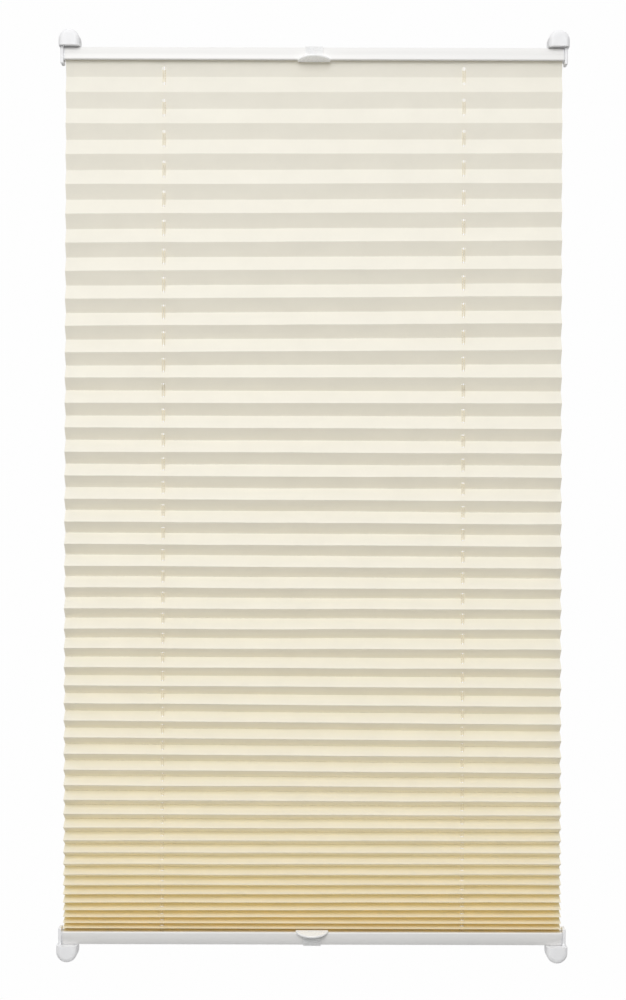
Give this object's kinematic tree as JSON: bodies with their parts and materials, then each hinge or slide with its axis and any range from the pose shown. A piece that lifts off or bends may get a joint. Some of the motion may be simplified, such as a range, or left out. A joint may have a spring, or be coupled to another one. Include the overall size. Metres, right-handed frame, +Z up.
{
  "type": "pleated blind",
  "caption": "Cream pleated blind between two slim white rails, with pull handles, paired cords and clamp brackets that grip a window sash without drilling.",
  "frame": {"origin": "the middle of the sash's upper front edge: in the plane of the clamps' backs, level with the upper hooks' undersides, at the middle of the width", "axes": "+X along the rails to the right as seen from the room, +Y from the room to the window, +Z up"},
  "size_m": [0.6118, 0.058, 1.1174],
  "materials": {
    "rail_enamel": "satin white enamel",
    "handle_plastic": "satin white",
    "bracket_plastic": "fine matt white",
    "clear_plastic": "natural",
    "pad_rubber": "soft matt",
    "cord": "braided",
    "spring_steel": "drawn wire",
    "pleat_cloth": "woven, stiffened"
  },
  "bodies": {
    "frame": {"pleated_cloth": "pleat_cloth", "top_left_clamp_body": "bracket_plastic", "top_left_tension_shoe": "bracket_plastic", "top_left_cord_lock": "bracket_plastic", "top_left_tension_cord": "cord", "top_right_clamp_body": "bracket_plastic", "top_right_tension_shoe": "bracket_plastic", "top_right_cord_lock": "bracket_plastic", "top_right_tension_cord": "cord", "bottom_left_clamp_body": "bracket_plastic", "bottom_left_tension_shoe": "bracket_plastic", "bottom_left_cord_lock": "bracket_plastic", "bottom_left_tension_cord": "cord", "bottom_right_clamp_body": "bracket_plastic", "bottom_right_tension_shoe": "bracket_plastic", "bottom_right_cord_lock": "bracket_plastic", "bottom_right_tension_cord": "cord"},
    "top_rail_set": {"top_rail": "rail_enamel", "top_handle": "handle_plastic", "top_cloth_strip": "clear_plastic", "top_tension_spring": "spring_steel", "top_left_end_cap": "bracket_plastic", "top_left_cord_bush": "clear_plastic", "top_right_end_cap": "bracket_plastic", "top_right_cord_bush": "clear_plastic"},
    "bottom_rail_set": {"bottom_rail": "rail_enamel", "bottom_handle": "handle_plastic", "bottom_cloth_strip": "clear_plastic", "bottom_tension_spring": "spring_steel", "bottom_left_end_cap": "bracket_plastic", "bottom_left_cord_bush": "clear_plastic", "bottom_right_end_cap": "bracket_plastic", "bottom_right_cord_bush": "clear_plastic"},
    "top_left_hook": {"top_left_hook_arm": "bracket_plastic", "top_left_grip_pad": "pad_rubber"},
    "top_right_hook": {"top_right_hook_arm": "bracket_plastic", "top_right_grip_pad": "pad_rubber"},
    "bottom_left_hook": {"bottom_left_hook_arm": "bracket_plastic", "bottom_left_grip_pad": "pad_rubber"},
    "bottom_right_hook": {"bottom_right_hook_arm": "bracket_plastic", "bottom_right_grip_pad": "pad_rubber"}
  },
  "joints": [
    {"name": "top_rail_slide", "type": "slide", "parent": "frame", "child": "top_rail_set", "axis": [0, 0, -1], "range_m": [0, 0.385], "deforming": ["pleated_cloth", "top_left_tension_cord", "top_right_tension_cord", "bottom_left_tension_cord", "bottom_right_tension_cord"]},
    {"name": "bottom_rail_slide", "type": "slide", "parent": "frame", "child": "bottom_rail_set", "axis": [0, 0, 1], "range_m": [0, 0.614], "deforming": ["pleated_cloth", "top_left_tension_cord", "top_right_tension_cord", "bottom_left_tension_cord", "bottom_right_tension_cord"]},
    {"name": "top_left_hook_slide", "type": "slide", "parent": "frame", "child": "top_left_hook", "axis": [0, 1, 0], "range_m": [-0.006, 0.006]},
    {"name": "top_right_hook_slide", "type": "slide", "parent": "frame", "child": "top_right_hook", "axis": [0, 1, 0], "range_m": [-0.006, 0.006]},
    {"name": "bottom_left_hook_slide", "type": "slide", "parent": "frame", "child": "bottom_left_hook", "axis": [0, 1, 0], "range_m": [-0.006, 0.006]},
    {"name": "bottom_right_hook_slide", "type": "slide", "parent": "frame", "child": "bottom_right_hook", "axis": [0, 1, 0], "range_m": [-0.006, 0.006]}
  ]
}
